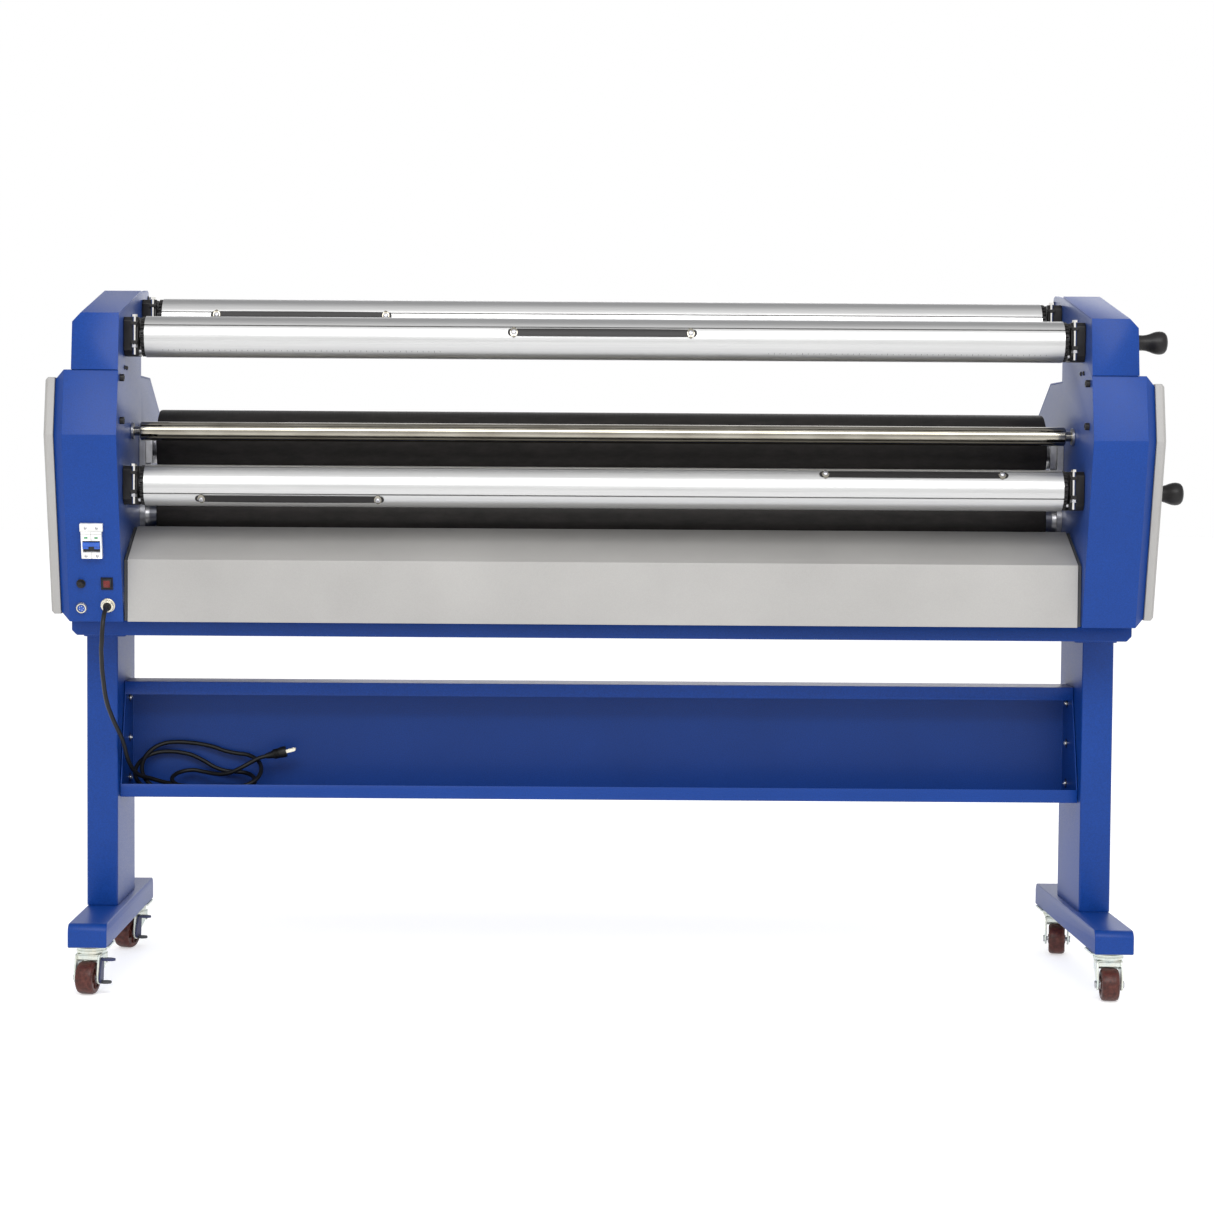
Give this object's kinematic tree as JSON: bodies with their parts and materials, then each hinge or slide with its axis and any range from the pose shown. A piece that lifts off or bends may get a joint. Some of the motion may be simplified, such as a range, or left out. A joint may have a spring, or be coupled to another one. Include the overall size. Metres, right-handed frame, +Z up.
{
  "type": "cold roll laminator",
  "caption": "Wide-format cold roll laminator on a castered T-foot stand, with rubber pressure rollers, open film-tube saddles, a handwheel lift and a folded stand tray.",
  "frame": {"origin": "on the floor under the middle of the machine's outline, free cord left out", "axes": "+Z up; +X along the rollers, towards the handwheels; -Y towards the service side with the take-up tubes and the mains inlet"},
  "size_m": [2.0434, 0.617, 1.268],
  "materials": {
    "blue_paint": "fine-textured powder coat, satin",
    "light_grey_paint": "smooth powder coat, satin",
    "aluminium_tube": "extruded, satin anodised",
    "chrome": "polished hard chrome",
    "machined_steel": "turned and ground",
    "roller_rubber": "ground silicone rubber, matt",
    "black_plastic": "moulded, semi-matt",
    "cord_rubber": "flexible cable sheath, soft sheen",
    "nickel_brass": "nickel-plated",
    "white_plastic": "moulded, satin",
    "toggle_plastic": "moulded, satin",
    "red_plastic": "moulded, glossy",
    "zinc_plate": "zinc-plated pressed steel",
    "caster_tread": "moulded nylon, worn",
    "pedal_plastic": "moulded cap"
  },
  "bodies": {
    "frame": {"left_foot": "blue_paint", "right_foot": "blue_paint", "left_leg": "blue_paint", "right_leg": "blue_paint", "base_beam": "blue_paint", "stand_tray": "blue_paint", "left_side_plate": "blue_paint", "right_side_plate": "blue_paint", "left_housing": "blue_paint", "right_housing": "blue_paint", "left_upper_housing": "blue_paint", "right_upper_housing": "blue_paint", "left_side_panel": "light_grey_paint", "right_side_panel": "light_grey_paint", "rear_cover": "light_grey_paint", "front_cover": "blue_paint", "drive_motor": "machined_steel", "drive_chain": "machined_steel", "breaker_body": "white_plastic", "cable_gland": "nickel_brass", "power_cord": "cord_rubber", "cord_coil": "cord_rubber", "power_plug": "cord_rubber", "left_rear_upper_saddle": "black_plastic", "right_rear_upper_saddle": "black_plastic", "left_front_upper_saddle": "black_plastic", "right_front_upper_saddle": "black_plastic", "left_rear_lower_saddle": "black_plastic", "right_rear_lower_saddle": "black_plastic"},
    "lower_roller": {"lower_roller_core": "machined_steel", "lower_roller_rubber": "roller_rubber", "roller_sprocket": "machined_steel"},
    "roller_carriage": {"left_roller_block": "machined_steel", "right_roller_block": "machined_steel"},
    "upper_roller": {"upper_roller_core": "machined_steel", "upper_roller_rubber": "roller_rubber"},
    "motor_pinion": {"motor_sprocket": "machined_steel"},
    "guide_roller": {"guide_roller": "chrome"},
    "rear_upper_tube": {"rear_upper_tube": "aluminium_tube"},
    "front_upper_tube": {"front_upper_tube": "aluminium_tube"},
    "rear_lower_tube": {"rear_lower_tube": "aluminium_tube"},
    "upper_handwheel": {"upper_handwheel": "black_plastic"},
    "lower_handwheel": {"lower_handwheel": "black_plastic"},
    "upper_grip": {"upper_grip": "black_plastic"},
    "lower_grip": {"lower_grip": "black_plastic"},
    "breaker_toggle": {"breaker_toggle": "toggle_plastic"},
    "rocker_switch": {"rocker_switch": "black_plastic"},
    "left_stop": {"left_emergency_stop": "red_plastic"},
    "right_stop": {"right_emergency_stop": "red_plastic"},
    "feed_table": {"feed_table": "light_grey_paint"},
    "rear_left_caster": {"rear_left_caster_fork": "zinc_plate"},
    "rear_left_wheel": {"rear_left_caster_wheel": "caster_tread"},
    "front_left_caster": {"front_left_caster_fork": "zinc_plate"},
    "front_left_wheel": {"front_left_caster_wheel": "caster_tread"},
    "rear_right_caster": {"rear_right_caster_fork": "zinc_plate"},
    "rear_right_wheel": {"rear_right_caster_wheel": "caster_tread"},
    "front_right_caster": {"front_right_caster_fork": "zinc_plate"},
    "front_right_wheel": {"front_right_caster_wheel": "caster_tread"},
    "rear_left_pedal": {"rear_left_brake_pedal": "pedal_plastic"},
    "front_left_pedal": {"front_left_brake_pedal": "pedal_plastic"}
  },
  "joints": [
    {"name": "lower_roller_spin", "type": "hinge", "parent": "frame", "child": "lower_roller", "pos_m": [-0.0422, 0.0015, 0.848], "axis": [1, 0, 0], "continuous": true},
    {"name": "roller_lift", "type": "slide", "parent": "frame", "child": "roller_carriage", "axis": [0, 0, 1], "range_m": [0, 0.025]},
    {"name": "upper_roller_spin", "type": "hinge", "parent": "roller_carriage", "child": "upper_roller", "pos_m": [-0.0422, 0.0015, 0.9785], "axis": [1, 0, 0], "continuous": true},
    {"name": "motor_sprocket_spin", "type": "hinge", "parent": "frame", "child": "motor_pinion", "pos_m": [-0.0422, 0.0915, 0.735], "axis": [1, 0, 0], "continuous": true},
    {"name": "guide_roller_spin", "type": "hinge", "parent": "frame", "child": "guide_roller", "pos_m": [-0.0422, -0.1285, 1.002], "axis": [1, 0, 0], "continuous": true},
    {"name": "rear_upper_tube_spin", "type": "hinge", "parent": "frame", "child": "rear_upper_tube", "pos_m": [-0.0422, -0.1985, 1.168], "axis": [1, 0, 0], "continuous": true},
    {"name": "front_upper_tube_spin", "type": "hinge", "parent": "frame", "child": "front_upper_tube", "pos_m": [-0.0422, 0.0265, 1.213], "axis": [1, 0, 0], "continuous": true},
    {"name": "rear_lower_tube_spin", "type": "hinge", "parent": "frame", "child": "rear_lower_tube", "pos_m": [-0.0422, -0.2085, 0.905], "axis": [1, 0, 0], "continuous": true},
    {"name": "upper_handwheel_turn", "type": "hinge", "parent": "frame", "child": "upper_handwheel", "pos_m": [0.8978, -0.0785, 1.172], "axis": [1, 0, 0], "range_deg": [0, 720]},
    {"name": "lower_handwheel_turn", "type": "hinge", "parent": "frame", "child": "lower_handwheel", "pos_m": [0.9458, -0.0185, 0.9], "axis": [1, 0, 0], "range_deg": [0, 900]},
    {"name": "upper_grip_spin", "type": "hinge", "parent": "upper_handwheel", "child": "upper_grip", "pos_m": [0.9478, -0.1185, 1.172], "axis": [1, 0, 0], "continuous": true},
    {"name": "lower_grip_spin", "type": "hinge", "parent": "lower_handwheel", "child": "lower_grip", "pos_m": [0.9878, -0.0585, 0.9], "axis": [1, 0, 0], "continuous": true},
    {"name": "breaker_toggle_throw", "type": "hinge", "parent": "frame", "child": "breaker_toggle", "pos_m": [-0.9412, -0.26783, 0.79952], "axis": [1, 0, 0], "range_deg": [0, 15]},
    {"name": "rocker_switch_rock", "type": "hinge", "parent": "frame", "child": "rocker_switch", "pos_m": [-0.9182, -0.24551, 0.73052], "axis": [1, 0, 0], "range_deg": [-8, 8]},
    {"name": "left_stop_press", "type": "slide", "parent": "frame", "child": "left_stop", "axis": [0, -0.4311, -0.9023], "range_m": [0, 0.004], "stiffness_N_per_m": 800},
    {"name": "right_stop_press", "type": "slide", "parent": "frame", "child": "right_stop", "axis": [0, -0.4311, -0.9023], "range_m": [0, 0.004], "stiffness_N_per_m": 800},
    {"name": "feed_table_fold", "type": "hinge", "parent": "frame", "child": "feed_table", "pos_m": [-0.0422, 0.2935, 0.893], "axis": [-1, 0, 0], "range_deg": [0, 85]},
    {"name": "rear_left_swivel", "type": "hinge", "parent": "frame", "child": "rear_left_caster", "pos_m": [-0.9492, -0.2235, 0.08], "axis": [0, 0, 1], "continuous": true},
    {"name": "rear_left_wheel_spin", "type": "hinge", "parent": "rear_left_caster", "child": "rear_left_wheel", "pos_m": [-0.95302, -0.24313, 0.029], "axis": [0.9816, -0.1908, 0], "continuous": true},
    {"name": "rear_left_pedal_rock", "type": "hinge", "parent": "rear_left_caster", "child": "rear_left_pedal", "pos_m": [-0.95302, -0.24313, 0.029], "axis": [0.9816, -0.1908, 0], "range_deg": [0, 12]},
    {"name": "front_left_swivel", "type": "hinge", "parent": "frame", "child": "front_left_caster", "pos_m": [-0.9492, 0.2585, 0.08], "axis": [0, 0, 1], "continuous": true},
    {"name": "front_left_wheel_spin", "type": "hinge", "parent": "front_left_caster", "child": "front_left_wheel", "pos_m": [-0.95669, 0.23996, 0.029], "axis": [0.9272, -0.3746, 0], "continuous": true},
    {"name": "front_left_pedal_rock", "type": "hinge", "parent": "front_left_caster", "child": "front_left_pedal", "pos_m": [-0.95669, 0.23996, 0.029], "axis": [0.9272, -0.3746, 0], "range_deg": [0, 12]},
    {"name": "rear_right_swivel", "type": "hinge", "parent": "frame", "child": "rear_right_caster", "pos_m": [0.8648, -0.2235, 0.08], "axis": [0, 0, 1], "continuous": true},
    {"name": "rear_right_wheel_spin", "type": "hinge", "parent": "rear_right_caster", "child": "rear_right_wheel", "pos_m": [0.8634, -0.24345, 0.029], "axis": [0.9976, -0.0698, 0], "continuous": true},
    {"name": "front_right_swivel", "type": "hinge", "parent": "frame", "child": "front_right_caster", "pos_m": [0.8648, 0.2585, 0.08], "axis": [0, 0, 1], "continuous": true},
    {"name": "front_right_wheel_spin", "type": "hinge", "parent": "front_right_caster", "child": "front_right_wheel", "pos_m": [0.86098, 0.23887, 0.029], "axis": [0.9816, -0.1908, 0], "continuous": true}
  ],
  "couplings": [
    {"joint": "upper_roller_spin", "follows": "lower_roller_spin", "ratio": -1},
    {"joint": "motor_sprocket_spin", "follows": "lower_roller_spin", "ratio": 1.6667},
    {"joint": "lower_handwheel_turn", "follows": "roller_lift", "rad_per_m": 628.32}
  ]
}
